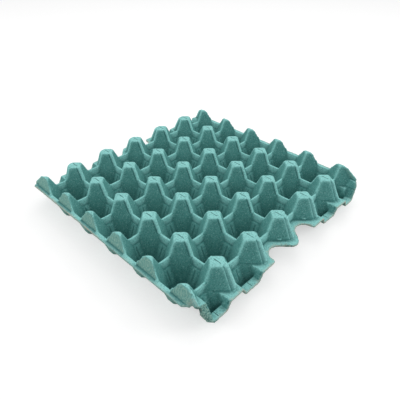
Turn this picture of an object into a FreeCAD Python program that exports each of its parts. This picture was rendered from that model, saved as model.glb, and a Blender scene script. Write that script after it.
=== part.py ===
import FreeCAD, Part
import math
import os

# Moulded pulp egg tray, one piece. Millimetres, +Z up.
# The origin is the centre of the underside, where the cell floors stand on the table.
# X runs across the rows of five cells and Y along the rows of six.
# One sheet of even thickness: the tray is the form under its upper face
# minus the form under its lower face, both made by the same function.

# Layout
cells_x = 5
cells_y = 6
pitch = 48.0
wall = 2.2

# Heights of the upper face
post_height = 45.0
crest_height = 29.0
ledge_height = 20.0
lip_height = 11.0

# Posts: an eight-sided taper with four broad faces towards the cells
# and four narrow ridges along X and Y
post_top_face = 7.25
post_face_taper = 0.326
post_ridge_width = 4.0
post_top_edge = 1.2

# Half posts on the Y sides, moved inwards and sliced by a leaning outer face
half_post_inset = 2.5
half_post_foot = 2.5
half_post_lean = 4.0

# Egg cells
floor_half = 12.0
crest_half = 1.5
crest_draft = 0.1
step_width = 1.4
flange_inset = 4.8

# Rims beyond the outer posts
rim_x = 26.5
rim_y = 1.0

# Half cells on the X sides, with their low lips
half_cell_side = 13.5
half_cell_side_run = 3.0
half_cell_back = 15.5
half_cell_back_run = 2.5
lip_half = 9.5
lip_flare = 5.0

# Cut corners at +X -Y and -X +Y: chamfer, high ledge and the ramp down to the lip,
# turned a little towards Y
corner_start = 3.0
corner_depth = 18.0
corner_ledge_x = 16.8
corner_ramp_run = 6.0
corner_ramp_turn = 0.3
corner_wall = 16.0
corner_foot = 19.2

# The other two corners are full: the flange runs on, and a wing of sheet
# stands on it from the half post to its end
full_corner_start = 18.0
full_corner_depth = 10.5
full_corner_wall = 7.0
wing_reach = 24.5

# Finger notches in the middle rows of the X sides, with a tongue between them
notch_rows = 2
notch_radius = 11.5
notch_centre_x = 23.0
notch_offset_y = 24.5
tongue_reach = 5.5
rim_corner_radius = 3.0

half_x = cells_x * pitch / 2
half_y = cells_y * pitch / 2

# How far cutting shapes pass the faces that they cut
over = 20.0
margin = 1.0


def frustum(low, high):
    """Closed solid between two polygons with the same number of corners and parallel sides."""
    count = len(low)
    faces = [Part.Face(Part.makePolygon(low + [low[0]]))]
    faces.append(Part.Face(Part.makePolygon(high + [high[0]])))
    for i in range(count):
        j = (i + 1) % count
        faces.append(Part.Face(Part.makePolygon([low[i], low[j], high[j], high[i], low[i]])))
    solid = Part.Solid(Part.Shell(faces))
    if solid.Volume < 0:
        solid.reverse()
    return solid


def rectangle(x0, x1, y0, y1, z):
    """Corners of a level rectangle."""
    corners = [(x0, y0), (x1, y0), (x1, y1), (x0, y1)]
    return [FreeCAD.Vector(x, y, z) for x, y in corners]


def octagon(cx, cy, z, face, ridge):
    """Corners of a level octagon with diagonal sides at face and axis sides at ridge."""
    reach = face * math.sqrt(2) - ridge
    corners = [(ridge, -reach), (ridge, reach), (reach, ridge), (-reach, ridge),
               (-ridge, reach), (-ridge, -reach), (-reach, -ridge), (reach, -ridge)]
    return [FreeCAD.Vector(cx + x, cy + y, z) for x, y in corners]


def side(inset, slope):
    """Level distance between a sloping face and its parallel at the given inset."""
    return inset * math.sqrt(1 + slope * slope)


def base_level(inset):
    """Bottom of a form: the underside for the upper one, and below it for the lower one."""
    return -2 * inset


def with_hole_below(cell, floor, inset):
    """The space of a cell, carried on through the lower form so that its wall stands free."""
    if inset == 0:
        return cell
    down = FreeCAD.Vector(0, 0, base_level(inset) - margin)
    return cell.fuse(frustum([p + down for p in floor], floor))


def post(cx, cy, inset):
    """One tapered post from the underside to its flat top."""
    diagonal = math.sqrt(2)
    face_in = side(inset, post_face_taper)
    ridge_in = side(inset, post_face_taper * diagonal)
    top = post_height - inset
    shoulder = top - post_top_edge

    def section(z, shrink):
        face = post_top_face + post_face_taper * (post_height - z)
        ridge = face * diagonal - post_ridge_width / 2
        return octagon(cx, cy, z, face - face_in - shrink, ridge - ridge_in - shrink)

    body = frustum(section(base_level(inset), 0), section(shoulder, 0))
    cap = frustum(section(shoulder, 0), section(top, post_top_edge))
    return body.fuse(cap)


def half_post(cx, outward, inset):
    """A post shifted inwards and sliced by a face that leans in over the flange."""
    edge_y = outward * half_y
    body = post(cx, edge_y - outward * half_post_inset, inset)
    rise = post_height - crest_height
    lean = half_post_lean / rise
    shift = side(inset, lean)

    def cut_line(z):
        return edge_y - outward * (half_post_foot + shift + lean * (z - crest_height))

    def beyond(z):
        y0, y1 = sorted([cut_line(z), edge_y + outward * pitch])
        return rectangle(cx - pitch, cx + pitch, y0, y1, z)

    return body.cut(frustum(beyond(base_level(inset) - margin), beyond(post_height + margin)))


def egg_cell(i, j, inset):
    """Space of one egg cell: a funnel with a small step at the ledge height."""
    cx = (i + 0.5) * pitch - half_x
    cy = (j + 0.5) * pitch - half_y
    wide = pitch / 2 - crest_half
    step_z = ledge_height - inset
    floor_z = wall - inset
    upper_drop = crest_height - ledge_height
    lower_top = wide - crest_draft * upper_drop - step_width
    slope = (lower_top - floor_half) / (ledge_height - wall)
    south = flange_inset - crest_half if j == 0 else 0
    north = flange_inset - crest_half if j == cells_y - 1 else 0

    def upper(z):
        r = wide - crest_draft * (crest_height - z) + side(inset, crest_draft)
        return rectangle(cx - r, cx + r, cy - r + south, cy + r - north, z)

    def lower(z):
        r = floor_half + slope * (z - wall) + side(inset, slope)
        share = (z - wall) / (ledge_height - wall)
        return rectangle(cx - r, cx + r, cy - r + south * share, cy + r - north * share, z)

    cell = frustum(upper(step_z), upper(post_height)).fuse(frustum(lower(floor_z), lower(step_z)))
    return with_hole_below(cell, lower(floor_z), inset)


def half_cell(outward, j, inset):
    """Space of one half cell beyond the outer posts, up to its back wall under the lip."""
    cy = (j + 0.5) * pitch - half_y
    corner = 0
    if j == 0:
        corner = -1
    if j == cells_y - 1:
        corner = 1
    step_z = ledge_height - inset
    floor_z = wall - inset
    near_top = crest_half + crest_draft * (crest_height - ledge_height) + step_width
    near_floor = pitch / 2 - floor_half
    near_slope = (near_floor - near_top) / (ledge_height - wall)
    back_slope = half_cell_back_run / (lip_height - wall)
    side_slope = half_cell_side_run / (ledge_height - wall)
    corner_side = half_y - abs(cy) - corner_wall
    corner_slope = (corner_foot - corner_wall) / (crest_height - lip_height)

    def section(z):
        near = near_floor - near_slope * (z - wall) - side(inset, near_slope)
        back = half_cell_back + back_slope * (z - wall) + side(inset, back_slope)
        reach = half_cell_side - side_slope * (ledge_height - z) + side(inset, side_slope)
        end = corner_side - corner_slope * (crest_height - z) + side(inset, corner_slope)
        y0 = cy - (end if corner < 0 else reach)
        y1 = cy + (end if corner > 0 else reach)
        x0, x1 = sorted([outward * (half_x + near), outward * (half_x + back)])
        return rectangle(x0, x1, y0, y1, z)

    top = section(step_z)
    lift = FreeCAD.Vector(0, 0, post_height - step_z)
    cell = frustum(section(floor_z), top).fuse(frustum(top, [p + lift for p in top]))
    return with_hole_below(cell, section(floor_z), inset)


def lip(outward, j, inset):
    """Space above one low lip, with sides that rise to the ledges."""
    cy = (j + 0.5) * pitch - half_y
    slope = lip_flare / (ledge_height - lip_height)
    def section(z):
        reach = lip_half + slope * (z - lip_height) + side(inset, slope)
        y0, y1 = cy - reach, cy + reach
        if j == 0:
            y0 = -half_y - over
        if j == cells_y - 1:
            y1 = half_y + over
        x0, x1 = sorted([outward * (half_x + half_cell_back), outward * (half_x + rim_x + over)])
        return rectangle(x0, x1, y0, y1, z)

    return frustum(section(lip_height - inset), section(post_height))


def is_full(sx, sy):
    """Whether a corner is one of the two full ones."""
    return sx * sy > 0


def corner_block(sx, sy, inset):
    """High ledge round a corner half cell. At a cut corner it ends in a ramp down to the lip."""
    full = is_full(sx, sy)
    top = crest_height - inset
    drop = crest_height - lip_height
    slope = corner_ramp_run / drop
    ledge_wall = full_corner_wall if full else corner_wall
    wall_slope = (corner_foot - ledge_wall) / drop
    edge_y = half_y - ledge_wall

    def section(z):
        near_y = edge_y - wall_slope * (crest_height - z) + side(inset, wall_slope)
        far_y = half_y + over

        def far_x(y):
            if full:
                return half_x + rim_x + over
            reach = corner_ledge_x + slope * (crest_height - z) - corner_ramp_turn * (y - edge_y)
            return half_x + reach - side(inset, math.hypot(slope, corner_ramp_turn))

        corners = [(0, near_y), (far_x(near_y), near_y), (far_x(far_y), far_y), (0, far_y)]
        return [FreeCAD.Vector(sx * x, sy * y, z) for x, y in corners]

    return frustum(section(base_level(inset)), section(top))


def wing(s):
    """Standing sheet in line with a corner half post's outer face, sloping down to the flange's end."""
    lean = half_post_lean / (post_height - crest_height)
    top = post_height - post_top_edge
    top_reach = post_top_face * math.sqrt(2) - post_ridge_width / 2

    def section(z):
        share = (top - z) / (top - crest_height)
        reach = top_reach + (wing_reach - top_reach) * share
        outer_y = half_y - half_post_foot - lean * (z - crest_height)
        x0, x1 = sorted([s * half_x, s * (half_x + reach)])
        y0, y1 = sorted([s * outer_y, s * (outer_y - side(wall, lean))])
        return rectangle(x0, x1, y0, y1, z)

    return frustum(section(crest_height - wall), section(top))


def form(inset):
    """Everything under the upper face (inset 0) or under the lower face (inset = wall)."""
    base = base_level(inset)
    crest = crest_height - inset
    spread = crest_half - side(inset, crest_draft)
    low_x = half_x + spread + crest_draft * (crest_height - base)
    high_x = half_x + spread + crest_draft * inset
    far_y = half_y + over
    far_x = half_x + rim_x + over
    body = frustum(rectangle(-low_x, low_x, -far_y, far_y, base),
                   rectangle(-high_x, high_x, -far_y, far_y, crest))
    ledge = frustum(rectangle(-far_x, far_x, -far_y, far_y, base),
                    rectangle(-far_x, far_x, -far_y, far_y, ledge_height - inset))
    body = body.fuse(ledge)

    half_rows = [j for j in range(cells_y) if abs(2 * j + 1 - cells_y) > notch_rows]
    body = body.cut([lip(sx, j, inset) for sx in (-1, 1) for j in half_rows])
    body = body.fuse([corner_block(sx, sy, inset) for sx in (-1, 1) for sy in (-1, 1)])

    spaces = [egg_cell(i, j, inset) for i in range(cells_x) for j in range(cells_y)]
    spaces += [half_cell(sx, j, inset) for sx in (-1, 1) for j in half_rows]
    body = body.cut(spaces)

    posts = []
    for i in range(cells_x + 1):
        x = i * pitch - half_x
        posts += [post(x, j * pitch - half_y, inset) for j in range(1, cells_y)]
        posts += [half_post(x, sy, inset) for sy in (-1, 1)]
    return body.fuse(posts)


def outline():
    """Plan of the tray as a tall prism: chamfered corners and two finger notches on each X side."""
    edge_x = half_x + rim_x
    edge_y = half_y + rim_y
    corners = []
    for sx, sy in ((1, -1), (1, 1), (-1, 1), (-1, -1)):
        full = is_full(sx, sy)
        start = full_corner_start if full else corner_start
        depth = full_corner_depth if full else corner_depth
        ends = [(sx * edge_x, sy * (edge_y - depth)), (sx * (half_x + start), sy * edge_y)]
        corners += ends if full else ends[::-1]
    low = FreeCAD.Vector(0, 0, -margin)
    tall = FreeCAD.Vector(0, 0, post_height + 2 * margin)
    points = [FreeCAD.Vector(x, y, low.z) for x, y in corners]
    plan = Part.Face(Part.makePolygon(points + [points[0]])).extrude(tall)

    # The tongue ends in an arc through the points where the notches begin
    tongue_half = notch_offset_y - notch_radius
    arc = (tongue_half ** 2 + tongue_reach ** 2) / (2 * tongue_reach)
    arc_x = half_x + notch_centre_x + tongue_reach - arc

    cuts = []
    for sx in (-1, 1):
        plan = plan.fuse(Part.makeCylinder(arc, tall.z, low + FreeCAD.Vector(sx * arc_x, 0, 0)))
        for sy in (-1, 1):
            x = sx * (half_x + notch_centre_x)
            y = sy * notch_offset_y
            cuts.append(Part.makeCylinder(notch_radius, tall.z, low + FreeCAD.Vector(x, y, 0)))
            x0, x1 = sorted([x, x + sx * over])
            mouth = rectangle(x0, x1, y - notch_radius, y + notch_radius, low.z)
            cuts.append(frustum(mouth, [p + tall for p in mouth]))

            # Round the rim where it turns into the notch
            turn_x = sx * (edge_x - rim_corner_radius)
            turn_y = sy * (notch_offset_y + notch_radius + rim_corner_radius)
            x0, x1 = sorted([turn_x, turn_x + sx * over])
            y0, y1 = sorted([y, turn_y])
            nib = rectangle(x0, x1, y0, y1, low.z)
            rounding = Part.makeCylinder(rim_corner_radius, tall.z, low + FreeCAD.Vector(turn_x, turn_y, 0))
            cuts.append(frustum(nib, [p + tall for p in nib]).cut(rounding))
    return plan.cut(cuts).removeSplitter()


sheet = form(0).cut(form(wall)).fuse([wing(s) for s in (-1, 1)])
tray = sheet.common(outline()).removeSplitter()

os.makedirs("parts", exist_ok=True)
max(tray.Solids, key=lambda s: s.Volume).exportStep("parts/egg_tray.step")
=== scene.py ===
import math

import bmesh
import bpy
import numpy as np
from bpy.props import FloatProperty, FloatVectorProperty, IntProperty, PointerProperty
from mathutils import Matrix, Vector


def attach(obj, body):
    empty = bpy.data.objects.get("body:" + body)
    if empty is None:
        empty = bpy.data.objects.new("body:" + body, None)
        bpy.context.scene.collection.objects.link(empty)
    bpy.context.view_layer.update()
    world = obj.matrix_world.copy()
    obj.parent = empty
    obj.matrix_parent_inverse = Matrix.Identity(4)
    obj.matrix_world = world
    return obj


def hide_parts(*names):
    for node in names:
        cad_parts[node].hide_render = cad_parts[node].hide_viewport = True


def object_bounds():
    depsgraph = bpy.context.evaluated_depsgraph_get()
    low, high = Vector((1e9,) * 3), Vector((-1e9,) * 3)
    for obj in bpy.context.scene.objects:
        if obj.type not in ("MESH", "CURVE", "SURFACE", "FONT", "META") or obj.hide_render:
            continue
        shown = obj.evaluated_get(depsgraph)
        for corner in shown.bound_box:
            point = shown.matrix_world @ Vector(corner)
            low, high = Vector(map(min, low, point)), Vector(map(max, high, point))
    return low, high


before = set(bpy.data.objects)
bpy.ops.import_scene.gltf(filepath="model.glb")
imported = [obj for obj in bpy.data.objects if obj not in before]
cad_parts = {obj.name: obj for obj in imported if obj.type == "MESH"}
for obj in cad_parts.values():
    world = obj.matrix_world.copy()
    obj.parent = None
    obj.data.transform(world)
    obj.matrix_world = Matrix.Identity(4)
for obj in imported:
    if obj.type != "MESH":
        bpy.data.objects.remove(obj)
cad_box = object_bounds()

bl_info = {
    "name": "Pulp Egg Tray",
    "version": (1, 0, 0),
    "blender": (4, 5, 0),
    "location": "3D View > Sidebar > Egg Tray",
    "description": "Dresses the moulded pulp egg tray: rounded sheet, torn rim, fibrous surface and stage",
    "category": "Add Mesh",
}

NODE = "egg_tray"
MM = 0.001
MOST_TRIANGLES = 200000
CELL_WALL = 12.5 * MM  # from a cell's middle to where its walls begin
LIP_MIDDLE = 21.5 * MM  # from the outer posts to the middle of the low lips
RING_DROP = 7 * MM  # from a half post's top to the middle of its oval rings
RING_SHIFT = 1 * MM  # the rings' middle beside the half post's axis
RING_PITCH = 2.9 * MM  # from one ring to the next


# Sizes and colours


class EggTraySizes(bpy.types.PropertyGroup):
    """Sizes of the moulding that its surface detail follows."""

    pitch: FloatProperty(
        name="Cell Pitch", description="Distance between neighbouring posts", default=48 * MM,
        unit="LENGTH", precision=4)
    cells_x: IntProperty(name="Cells Across", description="Cells in a row along X", default=5, min=1)
    cells_y: IntProperty(name="Cells Along", description="Cells in a row along Y", default=6, min=1)
    post_height: FloatProperty(
        name="Post Height", description="Flat tops of the posts", default=45 * MM, unit="LENGTH", precision=4)
    crest_height: FloatProperty(
        name="Crest Height", description="Saddles between the posts and the flanges", default=29 * MM,
        unit="LENGTH", precision=4)
    ledge_height: FloatProperty(
        name="Ledge Height", description="Rims beyond the outer posts and the steps in the cells",
        default=20 * MM, unit="LENGTH", precision=4)
    top_face: FloatProperty(
        name="Post Top", description="From a post's axis to the diagonal sides of its flat top",
        default=7.25 * MM, unit="LENGTH", precision=4)
    taper: FloatProperty(name="Post Taper", description="Spread of a post for each unit of its drop", default=0.326)
    ridge_width: FloatProperty(
        name="Ridge Width", description="Narrow sides of a post along X and Y", default=4 * MM,
        unit="LENGTH", precision=4)
    half_post_inset: FloatProperty(
        name="Half Post Inset", description="How far the posts on the flanges stand inwards", default=2.5 * MM,
        unit="LENGTH", precision=4)
    rim_x: FloatProperty(
        name="Side Rim", description="Rim beyond the outer posts on the X sides", default=26.5 * MM,
        unit="LENGTH", precision=4)
    rim_y: FloatProperty(
        name="Flange", description="Flange beyond the half posts' line on the Y sides", default=1 * MM,
        unit="LENGTH", precision=4)
    cut_start: FloatProperty(
        name="Cut Corner Start", description="Where a cut corner leaves the flange, beyond the outer posts",
        default=3 * MM, unit="LENGTH", precision=4)
    cut_depth: FloatProperty(
        name="Cut Corner Depth", description="How far a cut corner runs along Y", default=18 * MM,
        unit="LENGTH", precision=4)
    full_start: FloatProperty(
        name="Full Corner Start", description="Where a full corner leaves the flange, beyond the outer posts",
        default=18 * MM, unit="LENGTH", precision=4)
    full_depth: FloatProperty(
        name="Full Corner Depth", description="How far a full corner runs along Y", default=10.5 * MM,
        unit="LENGTH", precision=4)
    notch_radius: FloatProperty(
        name="Notch Radius", description="Radius of the finger notches", default=11.5 * MM,
        unit="LENGTH", precision=4)
    notch_centre: FloatProperty(
        name="Notch Centre", description="Centre of a finger notch beyond the outer posts", default=23 * MM,
        unit="LENGTH", precision=4)
    notch_offset: FloatProperty(
        name="Notch Offset", description="Centre of a finger notch from the middle of the side",
        default=24.5 * MM, unit="LENGTH", precision=4)
    tongue_reach: FloatProperty(
        name="Tongue Reach", description="How far the tongue between the notches passes their centres",
        default=5.5 * MM, unit="LENGTH", precision=4)


class EggTrayDetail(bpy.types.PropertyGroup):
    """How the moulding's surface is worked."""

    voxel: FloatProperty(
        name="Voxel", description="Grain of the remeshed sheet", default=1 * MM, unit="LENGTH", precision=4)
    soften: IntProperty(name="Soften", description="Smoothing passes that round the moulded edges", default=2, min=0)
    triangles: IntProperty(name="Triangles", description="Triangles kept in the sheet", default=178000, min=1000)
    edge_band: FloatProperty(
        name="Edge Band", description="Half width of the thin bright ridges towards Y", default=0.5 * MM,
        unit="LENGTH", precision=4)
    band_rise: FloatProperty(
        name="Band Rise", description="How proud the bands on the posts stand", default=0.5 * MM,
        unit="LENGTH", precision=5)
    rib_width: FloatProperty(
        name="Rib Width", description="Half width of the rib on an outer post's side", default=2.7 * MM,
        unit="LENGTH", precision=4)
    rib_shift: FloatProperty(
        name="Rib Shift", description="How far that rib stands beside the middle of the side",
        default=3.4 * MM, unit="LENGTH", precision=4)
    rib_rise: FloatProperty(
        name="Rib Rise", description="How proud that rib stands at its top", default=1.8 * MM,
        unit="LENGTH", precision=4)
    rib_gain: FloatProperty(
        name="Rib Gain", description="How much prouder the rib gets for each unit of its drop", default=0.06)
    groove: FloatProperty(
        name="Groove", description="Depth of the groove beside each band", default=0.5 * MM,
        unit="LENGTH", precision=5)
    crease: FloatProperty(
        name="Wall Crease", description="Depth of the crease in the middle of each cell wall",
        default=0.6 * MM, unit="LENGTH", precision=5)
    nub: FloatProperty(
        name="Nub", description="Small shelves at the foot of the posts beside the notches",
        default=1.7 * MM, unit="LENGTH", precision=4)
    tongue_round: FloatProperty(
        name="Tongue Rounding", description="Reach of the rounding where the tongue meets the notches",
        default=16 * MM, unit="LENGTH", precision=4)
    rim_spread: FloatProperty(
        name="Rim Spread", description="How far the side rims bow out towards the full corners",
        default=1.8 * MM, unit="LENGTH", precision=4)
    warp: FloatProperty(
        name="Warp", description="Slow unevenness of the dried pulp", default=0.4 * MM,
        unit="LENGTH", precision=5)
    warp_size: FloatProperty(
        name="Warp Size", description="Length over which the pulp warps", default=16 * MM,
        unit="LENGTH", precision=4)
    lumps: FloatProperty(
        name="Lumps", description="Small lumps in the pulp", default=0.16 * MM, unit="LENGTH", precision=5)
    lump_size: FloatProperty(
        name="Lump Size", description="Width of the small lumps", default=3.2 * MM, unit="LENGTH", precision=4)
    tear: FloatProperty(
        name="Tear", description="Unevenness of the torn rim", default=0.6 * MM, unit="LENGTH", precision=5)
    fibre_count: FloatProperty(
        name="Fibres", description="Loose fibres on each square metre of the torn rim", default=260000.0)
    fibre_length: FloatProperty(
        name="Fibre Length", description="Length of a loose fibre", default=1.1 * MM,
        unit="LENGTH", precision=5)
    fibre_width: FloatProperty(
        name="Fibre Width", description="Width of a loose fibre at its root", default=0.14 * MM,
        unit="LENGTH", precision=5)
    seed: IntProperty(name="Seed", description="Seed of all that is uneven", default=7)


class EggTrayColours(bpy.types.PropertyGroup):
    """Colours of the pulp and of the stage."""

    # Pale and Deep are lit and shaded copies of one teal: Pale is painted light on level and raised parts, Deep is
    # painted shade on the sides of the posts and cells (Deep also colours the real rings and pits of the rough outer
    # side)
    pale: FloatVectorProperty(
        name="Pale Pulp", description="Raised and level parts, where the pulp is rubbed pale", subtype="COLOR",
        size=3, min=0, max=1, default=(0.275, 0.635, 0.605))
    deep: FloatVectorProperty(
        name="Deep Pulp", description="Sides of the posts and of the cells", subtype="COLOR", size=3, min=0, max=1,
        default=(0.082, 0.28, 0.262))
    fibre: FloatVectorProperty(
        name="Pale Fibres", description="Pale fibres in the pulp", subtype="COLOR", size=3, min=0, max=1,
        default=(0.38, 0.72, 0.69))
    # Folds is painted shade in the slits, grooves, foot lines, creases and folds, and also the colour of the real
    # dark grain, specks and pits of the pulp
    fold: FloatVectorProperty(
        name="Folds", description="Slits, grooves, pits and folds", subtype="COLOR", size=3, min=0, max=1,
        default=(0.012, 0.085, 0.085))
    outer: FloatVectorProperty(
        name="Outer Side", description="Rough side that lay on the mould's mesh", subtype="COLOR", size=3,
        min=0, max=1, default=(0.27, 0.47, 0.40))
    torn: FloatVectorProperty(
        name="Torn Rim", description="Bare fibres of the torn rim", subtype="COLOR", size=3, min=0, max=1,
        default=(0.47, 0.43, 0.35))
    floor: FloatVectorProperty(
        name="Floor", description="Plain floor", subtype="COLOR", size=3, min=0, max=1,
        default=(0.55, 0.55, 0.55))


def settings():
    """The three groups of settings of the scene."""
    scene = bpy.context.scene
    return scene.egg_tray_sizes, scene.egg_tray_detail, scene.egg_tray_colours


# Node helpers


def group_inputs(tree, sockets):
    """Adds named inputs: (name, socket type, default)."""
    for name, kind, default in sockets:
        socket = tree.interface.new_socket(name=name, in_out="INPUT", socket_type=kind)
        if default is not None:
            socket.default_value = default


class Maths:
    """Short words for the maths nodes of a tree."""

    def __init__(self, tree):
        self.tree = tree

    def feed(self, socket, value):
        if isinstance(value, bpy.types.NodeSocket):
            self.tree.links.new(value, socket)
        else:
            socket.default_value = value

    def make(self, kind, operation, values):
        node = self.tree.nodes.new(kind)
        node.operation = operation
        for socket, value in zip(node.inputs, values):
            self.feed(socket, value)
        return node.outputs[0]

    def op(self, operation, *values):
        return self.make("ShaderNodeMath", operation, values)

    def vec(self, operation, *values):
        return self.make("ShaderNodeVectorMath", operation, values)

    def scaled(self, vector, factor):
        node = self.tree.nodes.new("ShaderNodeVectorMath")
        node.operation = "SCALE"
        self.feed(node.inputs[0], vector)
        self.feed(node.inputs["Scale"], factor)
        return node.outputs[0]

    def ramp(self, value, start, end):
        """0 at start, 1 at end, smooth between them. start may be the larger one."""
        node = self.tree.nodes.new("ShaderNodeMapRange")
        node.interpolation_type = "SMOOTHSTEP"
        self.feed(node.inputs["Value"], value)
        node.inputs["From Min"].default_value = min(start, end)
        node.inputs["From Max"].default_value = max(start, end)
        node.inputs["To Min"].default_value = 0.0 if start < end else 1.0
        node.inputs["To Max"].default_value = 1.0 if start < end else 0.0
        return node.outputs[0]

    def product(self, *values):
        result = values[0]
        for value in values[1:]:
            result = self.op("MULTIPLY", result, value)
        return result

    def largest(self, *values):
        result = values[0]
        for value in values[1:]:
            result = self.op("MAXIMUM", result, value)
        return result

    def mix(self, factor, first, second):
        """The first colour at 0 and the second at 1."""
        node = self.tree.nodes.new("ShaderNodeMix")
        node.data_type = "RGBA"
        self.feed(node.inputs["Factor"], factor)
        self.feed(node.inputs[6], first)
        self.feed(node.inputs[7], second)
        return node.outputs[2]

    def noise(self, vector, scale, detail=2.0, roughness=0.5, seed=0.0):
        node = self.tree.nodes.new("ShaderNodeTexNoise")
        node.noise_dimensions = "4D"
        self.feed(node.inputs["Vector"], vector)
        self.feed(node.inputs["Scale"], scale)
        self.feed(node.inputs["W"], seed)
        node.inputs["Detail"].default_value = detail
        node.inputs["Roughness"].default_value = roughness
        return node.outputs[0]


# Shape of the sheet


def smooth_step(value, start, end):
    """0 at start, 1 at end and smooth between them, for arrays."""
    t = np.clip((value - start) / (end - start), 0, 1)
    return t * t * (3 - 2 * t)


def bell(value, centre, width):
    """1 at the centre, falling off over about the width on both sides."""
    return np.exp(-((value - centre) / width) ** 2)


def fold(value, pitch):
    """Signed distance to the nearest multiple of the pitch."""
    return value - pitch * np.round(value / pitch)


def half_sizes(sizes):
    """Distance of the outer posts' lines from the middle, along X and Y."""
    return sizes.cells_x * sizes.pitch / 2, sizes.cells_y * sizes.pitch / 2


def to_posts(sizes, x, y):
    """Place of each point relative to its nearest post, along X and Y."""
    across = fold(x - sizes.cells_x * sizes.pitch / 2, sizes.pitch)
    outer_row = np.abs(y) > (sizes.cells_y - 1) * sizes.pitch / 2
    along = fold(y + outer_row * np.sign(y) * sizes.half_post_inset, sizes.pitch)
    return across, along


def outline_depth(sizes, x, y, rounding=0.0):
    """How far each point lies inside the tray's outline in plan; negative outside."""
    half_x, half_y = half_sizes(sizes)
    full = x * y > 0
    start = np.where(full, sizes.full_start, sizes.cut_start)
    depth = np.where(full, sizes.full_depth, sizes.cut_depth)
    x, y = np.abs(x), np.abs(y)
    edge_x, edge_y = half_x + sizes.rim_x, half_y + sizes.rim_y
    run = sizes.rim_x - start
    chamfer = ((half_x + start - x) * depth + (edge_y - y) * run) / np.hypot(run, depth)
    plate = np.minimum(np.minimum(edge_x - x, edge_y - y), chamfer)
    tongue_half = sizes.notch_offset - sizes.notch_radius
    arc = (tongue_half ** 2 + sizes.tongue_reach ** 2) / (2 * sizes.tongue_reach)
    centre = half_x + sizes.notch_centre + sizes.tongue_reach - arc
    tongue = np.maximum(plate, arc - np.hypot(x - centre, y))
    notch = np.hypot(np.minimum(x - half_x - sizes.notch_centre, 0), y - sizes.notch_offset) - sizes.notch_radius
    least = np.minimum(tongue, notch)
    if rounding:
        least -= np.maximum(rounding - np.abs(tongue - notch), 0) ** 2 / (4 * rounding)
    return least


def read_vertices(mesh, name):
    """One row of three numbers for each point of the mesh."""
    values = np.zeros(len(mesh.vertices) * 3, np.float32)
    mesh.vertices.foreach_get(name, values)
    return values.reshape(-1, 3).astype(float)


def write_vertices(mesh, place):
    """Puts the points of the mesh at the given places."""
    mesh.vertices.foreach_set("co", place.astype(np.float32).ravel())
    mesh.update()


def merged_copy(node):
    """The CAD node's mesh as a copy whose loose triangles are joined."""
    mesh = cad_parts[node].data.copy()
    work = bmesh.new()
    work.from_mesh(mesh)
    bmesh.ops.remove_doubles(work, verts=work.verts, dist=0.01 * MM)
    work.to_mesh(mesh)
    work.free()
    mesh.materials.clear()
    return mesh


def evaluated_mesh(obj):
    """A plain mesh of the object with its modifiers, which are then removed."""
    graph = bpy.context.evaluated_depsgraph_get()
    mesh = bpy.data.meshes.new_from_object(obj.evaluated_get(graph))
    obj.modifiers.clear()
    obj.data = mesh
    return mesh


def post_bands(sizes, detail, x, y, z):
    """Masks of the bands, the ribs of the outer posts and the grooves beside them."""
    half_x = half_sizes(sizes)[0]
    across, along = to_posts(sizes, x, y)
    near = np.minimum(np.abs(across), np.abs(along))
    far = np.maximum(np.abs(across), np.abs(along))
    drop = sizes.post_height - z
    corner = (sizes.top_face + sizes.taper * drop) * math.sqrt(2)
    along_x = np.abs(across) > np.abs(along)
    on_skin = np.minimum(np.abs(far - corner + sizes.ridge_width / 2), np.abs(near + far - corner)) < 1.4 * MM
    down = smooth_step(drop, 0, 1.5 * MM) * on_skin
    flank = down * smooth_step(z - sizes.crest_height, -0.5 * MM, 1 * MM)
    outer = (np.abs(x) > half_x) & (across * x > 0)
    half_width = np.where(along_x, sizes.ridge_width / 2, detail.edge_band)
    band = flank * smooth_step(near, half_width + 0.4 * MM, half_width - 0.4 * MM) * ~(outer & along_x)
    beside = along * np.sign(across)
    groove = flank * along_x * ~outer * bell(beside, -sizes.ridge_width / 2 - 0.6 * MM, 0.6 * MM)

    # Ribs on the outer sides, which stand beside the middle of the side
    long_flank = down * outer * smooth_step(z - sizes.ledge_height, -0.5 * MM, 1 * MM)
    aside = np.abs(beside - detail.rib_shift)
    rib = long_flank * smooth_step(aside, detail.rib_width + 0.9 * MM, detail.rib_width - 0.4 * MM)
    foot = detail.rib_shift - detail.rib_width - 0.9 * MM
    groove = np.maximum(groove, long_flank * bell(beside, foot, 0.7 * MM))
    return band, rib, groove


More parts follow.
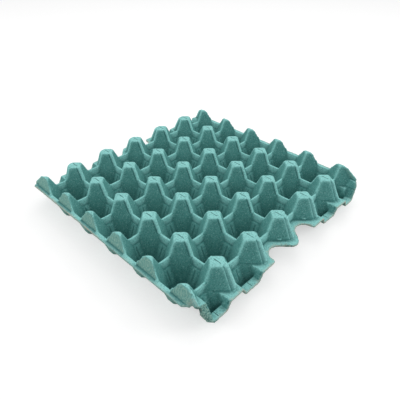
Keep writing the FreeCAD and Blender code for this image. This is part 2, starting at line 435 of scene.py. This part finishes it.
def press_details(sizes, detail, mesh):
    """Moves points of the sheet: tongues, rims, bands, ribs, grooves, creases and nubs.

    Returns the mask of the bands and ribs.
    """
    half_x, half_y = half_sizes(sizes)
    place = read_vertices(mesh, "co")
    normal = read_vertices(mesh, "normal")
    x, y, z = place.T.copy()

    # Round the tongues between the notches
    reach = detail.tongue_round
    step = 0.1 * MM
    by_tongue = (np.abs(y) < sizes.notch_offset) & (np.abs(x) > half_x + 10 * MM)
    new_x, new_y = x.copy(), y.copy()
    for _ in range(3):
        inside = outline_depth(sizes, new_x, new_y, reach)
        slope_x = (outline_depth(sizes, new_x + step, new_y, reach) - inside) / step
        slope_y = (outline_depth(sizes, new_x, new_y + step, reach) - inside) / step
        push = np.minimum(inside, 0) * by_tongue / np.maximum(slope_x ** 2 + slope_y ** 2, 0.25)
        new_x -= slope_x * push
        new_y -= slope_y * push
    place[:, 0], place[:, 1] = new_x, new_y

    # Bow the side rims out towards the full corners
    out = smooth_step(np.abs(x) - half_x, 12 * MM, 24 * MM)
    towards_full = y * np.sign(x)
    end = smooth_step(towards_full, half_y - 1.6 * sizes.pitch, half_y - 0.8 * sizes.pitch)
    end *= 1 - smooth_step(towards_full, half_y - 21 * MM, half_y - 9 * MM)
    place[:, 0] += np.sign(x) * detail.rim_spread * out * end

    # Raise the bands and ribs of the posts and sink the grooves beside them
    band, rib, groove = post_bands(sizes, detail, x, y, z)
    move = detail.band_rise * band - detail.groove * groove
    rise = detail.rib_rise + detail.rib_gain * (sizes.post_height - z)
    rise *= rib * smooth_step(sizes.post_height - z, 0.5 * MM, 4 * MM)
    place[:, 0] += np.sign(x) * 0.72 * rise
    place[:, 1] += np.sign(x) * 0.69 * rise
    store(mesh, "groove", groove)

    # Creases in the middle of the cell walls, under the steps
    cell_x, cell_y = fold(x, sizes.pitch), fold(y - sizes.pitch / 2, sizes.pitch)
    middle = np.minimum(np.abs(cell_x), np.abs(cell_y))
    wall = np.maximum(np.abs(cell_x), np.abs(cell_y))
    low = smooth_step(z, 4 * MM, 9 * MM) * smooth_step(z, sizes.ledge_height, sizes.ledge_height - 3 * MM)
    creased = (normal[:, 2] > 0.05) & (wall > CELL_WALL)
    move -= detail.crease * low * bell(middle, 0, 1.0 * MM) * creased

    # Nubs at the foot of the posts' faces towards the notches
    across, along = to_posts(sizes, x, y)
    sideways = (np.abs(across) - np.abs(along)) / math.sqrt(2)
    by_notch = (np.abs(x) > half_x) & (np.abs(np.abs(y) - sizes.notch_offset) < 17 * MM)
    by_notch &= (normal[:, 2] > 0.1) & (z > sizes.ledge_height + 0.8 * MM)
    shelf = bell(sideways, 1.2 * MM, 2.1 * MM) * bell(z, sizes.ledge_height + 1.9 * MM, MM)
    move += detail.nub * by_notch * shelf
    place += normal * move[:, None]
    write_vertices(mesh, place)
    return np.maximum(band, rib)


def store(mesh, name, values):
    """Keeps one number for each point of the mesh under a name."""
    attribute = mesh.attributes.get(name) or mesh.attributes.new(name, "FLOAT", "POINT")
    attribute.data.foreach_set("value", values.astype(np.float32))


def mark_rim(sizes, mesh):
    """Stores how torn each point is: 1 on the edge of the sheet's outline."""
    x, y, z = read_vertices(mesh, "co").T
    torn = smooth_step(outline_depth(sizes, x, y), 1.4 * MM, 0.4 * MM)
    by_cut = (x * y < 0) & (np.abs(y) > half_sizes(sizes)[1] - sizes.cut_depth) & (z > sizes.ledge_height)
    store(mesh, "torn", torn * np.where(by_cut, 0.4, 1.0))


def mark_bends(mesh):
    """Stores how far each point stands out: 1 on an outward edge, -1 in a fold."""
    place = read_vertices(mesh, "co")
    normal = read_vertices(mesh, "normal")
    count = len(place)
    pairs = np.zeros(len(mesh.edges) * 2, np.int32)
    mesh.edges.foreach_get("vertices", pairs)
    first, second = pairs.reshape(-1, 2).T
    degree = np.bincount(first, minlength=count) + np.bincount(second, minlength=count)

    def around(values):
        """Mean of each point's neighbours."""
        return (np.bincount(first, values[second], count) + np.bincount(second, values[first], count)) / degree

    mean = np.stack([around(place[:, k]) for k in range(3)], axis=1)
    bend = np.einsum("ij,ij->i", place - mean, normal)
    for _ in range(2):
        bend = (bend + around(bend)) / 2
    store(mesh, "bend", np.clip(bend / (0.1 * MM), -1, 1))


def mark_tones(sizes, mesh, bands):
    """Stores the painted light (pale) of level, raised and square-on parts, where the rough mould side shows and
    where it is coarse.
    """
    half_x, half_y = half_sizes(sizes)
    place = read_vertices(mesh, "co")
    normal = read_vertices(mesh, "normal")
    x, y, z = place.T

    # Painted light: parts facing up are lit pale, except the cell floors, which keep painted shade, and the flange,
    # which gets some painted shade; the bands and ribs get a painted highlight and walls facing square along X or Y
    # get a little painted light
    flange = smooth_step(np.abs(y) - half_y, -3 * MM, -1 * MM) * (z < sizes.crest_height + 0.6 * MM)
    level = smooth_step(normal[:, 2], 0.7, 0.93) * smooth_step(z, 5 * MM, 9 * MM) * (1 - 0.3 * flange)
    square_on = smooth_step(np.maximum(np.abs(normal[:, 0]), np.abs(normal[:, 1])), 0.82, 0.95)
    saddle = square_on * smooth_step(z, sizes.ledge_height - 0.5 * MM, sizes.ledge_height + 1.5 * MM)
    store(mesh, "pale", np.maximum.reduce([level, bands * 0.95, saddle * 0.6, square_on * 0.12]))

    out_y = normal[:, 1] * np.sign(y)
    tab = (np.abs(y) > half_y - 9 * MM) & (z > sizes.crest_height + 0.7 * MM)
    tabs = tab * smooth_step(out_y, 0.75, 0.92)
    corner = (np.abs(x) > half_x + 12 * MM) & (np.abs(y) > half_y - 24 * MM) & (x * y < 0)
    corner &= (z < sizes.crest_height - 0.4 * MM) & (z > 8 * MM)
    facing = 0.8 * normal[:, 0] * np.sign(x) + 0.6 * out_y
    ramps = corner * smooth_step(facing, 0.35, 0.6)
    under = smooth_step(normal[:, 2], 0.0, -0.15)
    store(mesh, "outer", np.maximum.reduce([tabs, ramps, under]))
    store(mesh, "coarse", ramps)


# Geometry nodes


def finish_tree(tree, geometry, material):
    """Ends a geometry tree in Realize Instances and Set Material."""
    realize = tree.nodes.new("GeometryNodeRealizeInstances")
    paint = tree.nodes.new("GeometryNodeSetMaterial")
    end = tree.nodes.new("NodeGroupOutput")
    tree.links.new(geometry, realize.inputs[0])
    tree.links.new(realize.outputs[0], paint.inputs["Geometry"])
    tree.links.new(material, paint.inputs["Material"])
    tree.links.new(paint.outputs[0], end.inputs[0])


def torn_field(tree):
    """The stored measure of how torn the rim is."""
    rim = tree.nodes.new("GeometryNodeInputNamedAttribute")
    rim.data_type = "FLOAT"
    rim.inputs["Name"].default_value = "torn"
    return rim.outputs[0]


def relief_tree():
    """Geometry nodes that warp the sheet, make it lumpy and fray its rim, inside the CAD box."""
    tree = bpy.data.node_groups.new("Pulp Relief", "GeometryNodeTree")
    group_inputs(tree, (
        ("Geometry", "NodeSocketGeometry", None),
        ("Warp", "NodeSocketFloat", 0.0),
        ("Warp Size", "NodeSocketFloat", 0.01),
        ("Lumps", "NodeSocketFloat", 0.0),
        ("Lump Size", "NodeSocketFloat", 0.01),
        ("Tear", "NodeSocketFloat", 0.0),
        ("Seed", "NodeSocketFloat", 0.0),
        ("Low Corner", "NodeSocketVector", None),
        ("High Corner", "NodeSocketVector", None),
        ("Material", "NodeSocketMaterial", None),
    ))
    tree.interface.new_socket(name="Geometry", in_out="OUTPUT", socket_type="NodeSocketGeometry")
    nodes, links = tree.nodes, tree.links
    source = nodes.new("NodeGroupInput").outputs
    maths = Maths(tree)
    place = nodes.new("GeometryNodeInputPosition").outputs[0]
    normal = nodes.new("GeometryNodeInputNormal").outputs[0]

    def swing(size, seed, detail):
        """Noise from -1 to 1 whose bumps have the given size."""
        value = maths.noise(place, maths.op("DIVIDE", 1.0, size), detail, 0.55, seed)
        return maths.op("MULTIPLY_ADD", value, 2.0, -1.0)

    warp = maths.op("MULTIPLY", swing(source["Warp Size"], source["Seed"], 1.0), source["Warp"])
    lumps = maths.op("MULTIPLY", swing(source["Lump Size"], source["Seed"], 2.0), source["Lumps"])
    frayed = swing(source["Lump Size"], maths.op("ADD", source["Seed"], 3.0), 3.0)
    tear = maths.product(frayed, source["Tear"], torn_field(tree))
    total = maths.op("ADD", maths.op("ADD", warp, lumps), tear)
    moved = maths.vec("ADD", place, maths.scaled(normal, total))
    held = maths.vec("MINIMUM", maths.vec("MAXIMUM", moved, source["Low Corner"]), source["High Corner"])
    put = nodes.new("GeometryNodeSetPosition")
    links.new(source["Geometry"], put.inputs["Geometry"])
    links.new(held, put.inputs["Position"])
    finish_tree(tree, put.outputs[0], source["Material"])
    return tree


def fibre_tree():
    """Geometry nodes that stand loose fibres on the torn rim."""
    tree = bpy.data.node_groups.new("Rim Fibres", "GeometryNodeTree")
    group_inputs(tree, (
        ("Geometry", "NodeSocketGeometry", None),
        ("Fibres", "NodeSocketFloat", 0.0),
        ("Length", "NodeSocketFloat", 0.001),
        ("Width", "NodeSocketFloat", 0.0001),
        ("Seed", "NodeSocketInt", 0),
        ("Material", "NodeSocketMaterial", None),
    ))
    tree.interface.new_socket(name="Geometry", in_out="OUTPUT", socket_type="NodeSocketGeometry")
    nodes, links = tree.nodes, tree.links
    source = nodes.new("NodeGroupInput").outputs
    maths = Maths(tree)

    scatter = nodes.new("GeometryNodeDistributePointsOnFaces")
    links.new(source["Geometry"], scatter.inputs["Mesh"])
    links.new(maths.op("MULTIPLY", source["Fibres"], torn_field(tree)), scatter.inputs["Density"])
    links.new(source["Seed"], scatter.inputs["Seed"])

    spike = nodes.new("GeometryNodeMeshCone")
    spike.inputs["Vertices"].default_value = 3
    spike.inputs["Radius Top"].default_value = 0.0
    links.new(maths.op("MULTIPLY", source["Width"], 0.5), spike.inputs["Radius Bottom"])
    links.new(source["Length"], spike.inputs["Depth"])

    def random_value(kind, low, high, offset):
        node = nodes.new("FunctionNodeRandomValue")
        node.data_type = kind
        sockets = [s for s in node.inputs if s.enabled]
        sockets[0].default_value = low
        sockets[1].default_value = high
        links.new(maths.op("ADD", source["Seed"], offset), node.inputs["Seed"])
        return next(s for s in node.outputs if s.enabled)

    lean = maths.vec("ADD", scatter.outputs["Normal"], random_value("FLOAT_VECTOR", (-1, -1, -1), (1, 1, 1), 1.0))
    turn = nodes.new("FunctionNodeAlignRotationToVector")
    turn.axis = "Z"
    links.new(lean, turn.inputs["Vector"])
    stand = nodes.new("GeometryNodeInstanceOnPoints")
    links.new(scatter.outputs["Points"], stand.inputs["Points"])
    links.new(spike.outputs["Mesh"], stand.inputs["Instance"])
    links.new(turn.outputs[0], stand.inputs["Rotation"])
    links.new(random_value("FLOAT", 0.4, 1.0, 2.0), stand.inputs["Scale"])
    join = nodes.new("GeometryNodeJoinGeometry")
    links.new(source["Geometry"], join.inputs[0])
    links.new(stand.outputs[0], join.inputs[0])
    finish_tree(tree, join.outputs[0], source["Material"])
    return tree


def add_tree(obj, tree, values):
    """Puts a geometry tree on the object with its inputs set by their identifiers."""
    modifier = obj.modifiers.new(tree.name, "NODES")
    modifier.node_group = tree
    for item in tree.interface.items_tree:
        if item.in_out == "INPUT" and item.name in values:
            modifier[item.identifier] = values[item.name]


# Materials


def tray_marks_group(sizes):
    """Masks of the marks that repeat over the tray, from Object coordinates."""
    tree = bpy.data.node_groups.new("Tray Marks", "ShaderNodeTree")
    group_inputs(tree, (("Vector", "NodeSocketVector", None),))
    for name in ("Slit", "Foot", "Crease", "Rings"):
        tree.interface.new_socket(name=name, in_out="OUTPUT", socket_type="NodeSocketFloat")
    maths = Maths(tree)
    split = tree.nodes.new("ShaderNodeSeparateXYZ")
    source = tree.nodes.new("NodeGroupInput").outputs
    tree.links.new(source["Vector"], split.inputs[0])
    x, y, z = split.outputs
    half = sizes.pitch / 2
    half_x = half_sizes(sizes)[0]
    shift_x = (sizes.cells_x % 2) * half

    # Place relative to the nearest post
    side_x = maths.op("WRAP", maths.op("ADD", x, shift_x), half, -half)
    outer_row = maths.op("GREATER_THAN", maths.op("ABSOLUTE", y), (sizes.cells_y - 1) * half)
    inset = maths.product(outer_row, maths.op("SIGN", y), sizes.half_post_inset)
    side_y = maths.op("WRAP", maths.op("ADD", y, inset), half, -half)
    across, along = maths.op("ABSOLUTE", side_x), maths.op("ABSOLUTE", side_y)
    uneven = maths.noise(source["Vector"], 260.0, 2.0, 0.5, 6.0)

    # Slits in the post tops and in the low lips beside the half cells
    top = maths.ramp(z, sizes.post_height - 1.6 * MM, sizes.post_height - 0.9 * MM)
    fine = maths.op("ADD", along, maths.op("MULTIPLY_ADD", uneven, 0.8 * MM, -0.4 * MM))
    slit = maths.product(maths.ramp(fine, 0.65 * MM, 0.2 * MM), maths.ramp(across, 4.8 * MM, 4.0 * MM), top)
    lip_x = maths.op("ABSOLUTE", maths.op("SUBTRACT", maths.op("ABSOLUTE", x), half_x + LIP_MIDDLE))
    lip_y = maths.op("ABSOLUTE", maths.op("WRAP", maths.op("ADD", y, half), half, -half))
    lip = maths.product(maths.ramp(lip_y, 0.6 * MM, 0.2 * MM), maths.ramp(lip_x, 3.4 * MM, 2.6 * MM))
    lip = maths.product(lip, maths.ramp(z, 14 * MM, 13 * MM))
    slit = maths.largest(slit, lip)

    # Painted shadow line where the outer posts stand on the ledges
    beyond = maths.ramp(maths.op("ABSOLUTE", x), half_x + 6 * MM, half_x + 8 * MM)
    height = maths.op("ABSOLUTE", maths.op("SUBTRACT", z, sizes.ledge_height + 1.5 * MM))
    foot = maths.product(maths.ramp(height, 0.9 * MM, 0.3 * MM), beyond)

    # Crease in the middle of each cell wall
    cell_x = maths.op("ABSOLUTE", maths.op("WRAP", maths.op("ADD", x, half - shift_x), half, -half))
    middle = maths.op("MINIMUM", cell_x, lip_y)
    wall = maths.ramp(maths.op("MAXIMUM", cell_x, lip_y), CELL_WALL, CELL_WALL + 1 * MM)
    low = maths.ramp(z, sizes.ledge_height - 0.5 * MM, sizes.ledge_height - 2.0 * MM)
    crease = maths.product(maths.ramp(middle, 0.8 * MM, 0.2 * MM), wall, low, maths.ramp(z, 6 * MM, 9 * MM))

    # Oval rings on the outer faces of the half posts
    ring_x = maths.op("SUBTRACT", side_x, RING_SHIFT)
    ring_z = maths.op("MULTIPLY", maths.op("SUBTRACT", z, sizes.post_height - RING_DROP), 0.75)
    size = maths.op("SQRT", maths.op("ADD", maths.product(ring_x, ring_x), maths.product(ring_z, ring_z)))
    size = maths.op("ADD", size, maths.op("MULTIPLY", uneven, 3.0 * MM))
    rings = maths.ramp(maths.op("SINE", maths.op("MULTIPLY", size, math.tau / RING_PITCH)), 0.1, 0.9)

    end = tree.nodes.new("NodeGroupOutput")
    for name, value in (("Slit", slit), ("Foot", foot), ("Crease", crease), ("Rings", rings)):
        tree.links.new(value, end.inputs[name])
    return tree


def pulp_material(sizes, colours):
    """Matte fibrous pulp: painted light on level and raised parts, painted shade on the sides and in folds, rough
    outside, bare fibres at the rim.
    """
    material = bpy.data.materials.new("Moulded Pulp")
    material.use_nodes = True
    tree = material.node_tree
    maths = Maths(tree)
    shader = tree.nodes["Principled BSDF"]
    place = tree.nodes.new("ShaderNodeTexCoord").outputs["Object"]
    marks = tree.nodes.new("ShaderNodeGroup")
    marks.node_tree = tray_marks_group(sizes)
    tree.links.new(place, marks.inputs["Vector"])

    def attribute(name):
        node = tree.nodes.new("ShaderNodeAttribute")
        node.attribute_name = name
        return node.outputs["Fac"]

    torn, outer, coarse = attribute("torn"), attribute("outer"), attribute("coarse")
    painted, bend, groove = attribute("pale"), attribute("bend"), attribute("groove")
    # Outward edges get a painted highlight and folds get painted shade
    raised = maths.op("MAXIMUM", bend, 0.0)
    sunk = maths.op("MAXIMUM", maths.op("MULTIPLY", bend, -1.0), 0.0)
    pale, deep = (*colours.pale, 1), (*colours.deep, 1)
    fibre, dark = (*colours.fibre, 1), (*colours.fold, 1)

    # Uneven colour: broad clouds, grain, fibres that lie along Y, dark specks and the pitted outer side
    cloud = maths.noise(place, 90.0, 3.0, 0.6, 1.0)
    grain = maths.noise(place, 700.0, 3.0, 0.65, 2.0)
    fibres = maths.noise(maths.vec("MULTIPLY", place, (1.0, 0.35, 0.6)), 1100.0, 2.0, 0.7, 3.0)
    specks = maths.noise(place, 420.0, 1.0, 0.5, 4.0)
    rough = maths.noise(place, 620.0, 3.0, 0.7, 5.0)

    # Painted light where level or standing out (pale), painted shade elsewhere (deep), with broad clouds of uneven
    # tone
    tone = maths.op("MULTIPLY_ADD", raised, 0.5, painted)
    tone = maths.op("ADD", tone, maths.op("MULTIPLY_ADD", cloud, 0.5, -0.25))
    tone = maths.ramp(tone, -0.15, 1.05)
    base = maths.mix(tone, deep, pale)
    base = maths.mix(maths.op("MULTIPLY", maths.ramp(fibres, 0.5, 0.72), 0.5), base, fibre)
    base = maths.mix(maths.op("MULTIPLY", maths.ramp(grain, 0.54, 0.3), 0.5), base, dark)
    base = maths.mix(maths.op("MULTIPLY", maths.ramp(specks, 0.3, 0.22), 0.5), base, dark)

    # Rough outer side, with rings on the half posts and deep pits on the corner ramps
    pits = maths.product(maths.ramp(rough, 0.58, 0.42), maths.op("MULTIPLY_ADD", coarse, 0.3, 0.6))
    skin = maths.mix(pits, (*colours.outer, 1), deep)
    skin = maths.mix(maths.product(coarse, maths.ramp(rough, 0.52, 0.42), 0.75), skin, dark)
    rings = maths.product(marks.outputs["Rings"], maths.op("SUBTRACT", 1.0, coarse))
    skin = maths.mix(maths.op("MULTIPLY", rings, 0.5), skin, deep)
    base = maths.mix(maths.op("MULTIPLY", outer, 0.95), base, skin)

    # Painted shade in the slits, grooves, foot lines, creases and folds, then the bare fibres of the rim
    painted_shade = maths.largest(
        maths.op("MULTIPLY", marks.outputs["Slit"], 0.8),
        maths.op("MULTIPLY", groove, 0.6),
        maths.op("MULTIPLY", marks.outputs["Foot"], 0.45),
        maths.op("MULTIPLY", marks.outputs["Crease"], 0.5))
    painted_shade = maths.product(painted_shade, maths.op("SUBTRACT", 1.0, outer))
    painted_shade = maths.largest(painted_shade, maths.op("MULTIPLY", sunk, 0.65))
    base = maths.mix(painted_shade, base, dark)
    bare = maths.product(torn, maths.ramp(grain, 0.35, 0.6), maths.op("MULTIPLY_ADD", coarse, -0.7, 0.85))
    base = maths.mix(bare, base, (*colours.torn, 1))
    tree.links.new(base, shader.inputs["Base Color"])

    shader.inputs["Roughness"].default_value = 0.92
    shader.inputs["Specular IOR Level"].default_value = 0.15

    # Fine relief
    height = maths.op("MULTIPLY", grain, 0.5)
    height = maths.op("MULTIPLY_ADD", fibres, 0.4, height)
    roughness = maths.op("MULTIPLY", maths.largest(outer, torn), maths.op("MULTIPLY_ADD", coarse, 1.4, 0.9))
    height = maths.op("ADD", height, maths.op("MULTIPLY", rough, roughness))
    height = maths.op("SUBTRACT", height, maths.op("MULTIPLY", marks.outputs["Slit"], 1.4))
    height = maths.op("SUBTRACT", height, maths.product(rings, outer, 0.8))
    bump = tree.nodes.new("ShaderNodeBump")
    bump.inputs["Strength"].default_value = 0.75
    bump.inputs["Distance"].default_value = 0.4 * MM
    tree.links.new(height, bump.inputs["Height"])
    tree.links.new(bump.outputs[0], shader.inputs["Normal"])
    return material


def seen_directly(maths):
    """1 for camera, glossy and transmission rays and 0 for the rays that light the object."""
    path = maths.tree.nodes.new("ShaderNodeLightPath")
    return maths.largest(path.outputs["Is Camera Ray"], path.outputs["Is Glossy Ray"],
                         path.outputs["Is Transmission Ray"])


def floor_material(colours):
    """Plain floor that shows white to the camera and still takes a shadow."""
    material = bpy.data.materials.new("Plain Floor")
    material.use_nodes = True
    tree = material.node_tree
    maths = Maths(tree)
    shader = tree.nodes["Principled BSDF"]
    shader.inputs["Base Color"].default_value = (*colours.floor, 1)
    shader.inputs["Roughness"].default_value = 0.95
    shader.inputs["Specular IOR Level"].default_value = 0.0
    shader.inputs["Emission Color"].default_value = (1, 1, 1, 1)
    white = 1.08 - colours.floor[1]
    tree.links.new(maths.op("MULTIPLY", seen_directly(maths), white), shader.inputs["Emission Strength"])
    return material


# Operators


class EGGTRAY_OT_sheet(bpy.types.Operator):
    """Build the moulded pulp sheet over the CAD solid"""

    bl_idname = "egg_tray.sheet"
    bl_label = "Moulded Sheet"

    def execute(self, context):
        sizes, detail, colours = settings()
        tray = bpy.data.objects.new("Tray-Sheet", merged_copy(NODE))
        context.scene.collection.objects.link(tray)

        remesh = tray.modifiers.new("Remesh", "REMESH")
        remesh.mode = "VOXEL"
        remesh.voxel_size = detail.voxel
        soften = tray.modifiers.new("Soften", "SMOOTH")
        soften.factor = 0.5
        soften.iterations = detail.soften
        mesh = evaluated_mesh(tray)
        if len(mesh.polygons) < detail.triangles:
            raise RuntimeError("the remeshed sheet is too coarse")

        mark_rim(sizes, mesh)
        bands = press_details(sizes, detail, mesh)
        mark_bends(mesh)
        mark_tones(sizes, mesh, bands)
        material = pulp_material(sizes, colours)
        low, high = cad_box
        add_tree(tray, relief_tree(), {
            "Warp": detail.warp, "Warp Size": detail.warp_size,
            "Lumps": detail.lumps, "Lump Size": detail.lump_size,
            "Tear": detail.tear, "Seed": float(detail.seed),
            "Low Corner": tuple(low), "High Corner": tuple(high),
            "Material": material,
        })
        thin = tray.modifiers.new("Thin Out", "DECIMATE")
        thin.ratio = detail.triangles / (2 * len(mesh.polygons))
        add_tree(tray, fibre_tree(), {
            "Fibres": detail.fibre_count, "Length": detail.fibre_length, "Width": detail.fibre_width,
            "Seed": detail.seed, "Material": material,
        })
        mesh = evaluated_mesh(tray)
        write_vertices(mesh, np.clip(read_vertices(mesh, "co"), list(low), list(high)))
        mesh.shade_smooth()
        if len(mesh.polygons) > MOST_TRIANGLES:
            raise RuntimeError("the sheet has too many triangles")

        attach(tray, "root")
        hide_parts(NODE)
        return {"FINISHED"}


class EGGTRAY_OT_stage(bpy.types.Operator):
    """Build the floor, the lamps and the camera"""

    bl_idname = "egg_tray.stage"
    bl_label = "Stage"

    def execute(self, context):
        colours = settings()[2]
        mesh = bpy.data.meshes.new("Floor")
        reach = 4.0
        corners = [(-reach, -reach, 0), (reach, -reach, 0), (reach, reach, 0), (-reach, reach, 0)]
        mesh.from_pydata(corners, [], [(0, 1, 2, 3)])
        floor = bpy.data.objects.new("Floor", mesh)
        mesh.materials.append(floor_material(colours))
        context.scene.collection.objects.link(floor)

        def lamp(name, place, size, power):
            """A soft round lamp that points at the middle of the tray."""
            data = bpy.data.lights.new(name, "AREA")
            data.shape = "DISK"
            data.size = size
            data.energy = power
            obj = bpy.data.objects.new(name, data)
            obj.location = place
            obj.rotation_euler = (-Vector(place)).to_track_quat("-Z", "Y").to_euler()
            context.scene.collection.objects.link(obj)

        lamp("Right Lamp", (0.85, 0.85, 0.65), 0.7, 5.5)
        lamp("Left Lamp", (-0.85, -0.85, 0.65), 0.7, 4.5)
        lamp("Back Lamp", (-0.55, 0.55, 1.2), 1.0, 2.5)

        world = bpy.data.worlds.new("Studio")
        world.use_nodes = True
        tree = world.node_tree
        maths = Maths(tree)
        back = tree.nodes["Background"]
        back.inputs["Color"].default_value = (1, 1, 1, 1)
        ambient = 0.68
        strength = maths.op("MULTIPLY_ADD", seen_directly(maths), 1 - ambient, ambient)
        tree.links.new(strength, back.inputs["Strength"])
        context.scene.world = world

        camera = bpy.data.cameras.new("Camera")
        camera.sensor_width = 36.0
        camera.lens = 34.97
        obj = bpy.data.objects.new("Camera", camera)
        obj.location = Vector((282.97, -286.59, 300.19)) * MM
        aim = Vector((44.2, -40.2, 45.0)) * MM
        obj.rotation_euler = (aim - obj.location).to_track_quat("-Z", "Y").to_euler()
        context.scene.collection.objects.link(obj)
        context.scene.camera = obj
        context.scene.view_settings.view_transform = "Standard"
        return {"FINISHED"}


class EGGTRAY_PT_panel(bpy.types.Panel):
    """Lists the settings and the build steps"""

    bl_idname = "EGGTRAY_PT_panel"
    bl_label = "Egg Tray"
    bl_space_type = "VIEW_3D"
    bl_region_type = "UI"
    bl_category = "Egg Tray"

    def draw(self, context):
        for group in settings():
            box = self.layout.box()
            for name in group.bl_rna.properties.keys():
                if name not in ("rna_type", "name"):
                    box.prop(group, name)
        self.layout.operator(EGGTRAY_OT_sheet.bl_idname)
        self.layout.operator(EGGTRAY_OT_stage.bl_idname)


CLASSES = (EggTraySizes, EggTrayDetail, EggTrayColours, EGGTRAY_OT_sheet, EGGTRAY_OT_stage, EGGTRAY_PT_panel)
GROUPS = (("egg_tray_sizes", EggTraySizes), ("egg_tray_detail", EggTrayDetail),
          ("egg_tray_colours", EggTrayColours))


def register():
    for cls in CLASSES:
        bpy.utils.register_class(cls)
    for name, cls in GROUPS:
        setattr(bpy.types.Scene, name, PointerProperty(type=cls))


def unregister():
    for name, cls in GROUPS:
        delattr(bpy.types.Scene, name)
    for cls in reversed(CLASSES):
        bpy.utils.unregister_class(cls)


def main():
    register()
    bpy.ops.egg_tray.sheet()
    bpy.ops.egg_tray.stage()


if __name__ == "__main__":
    main()
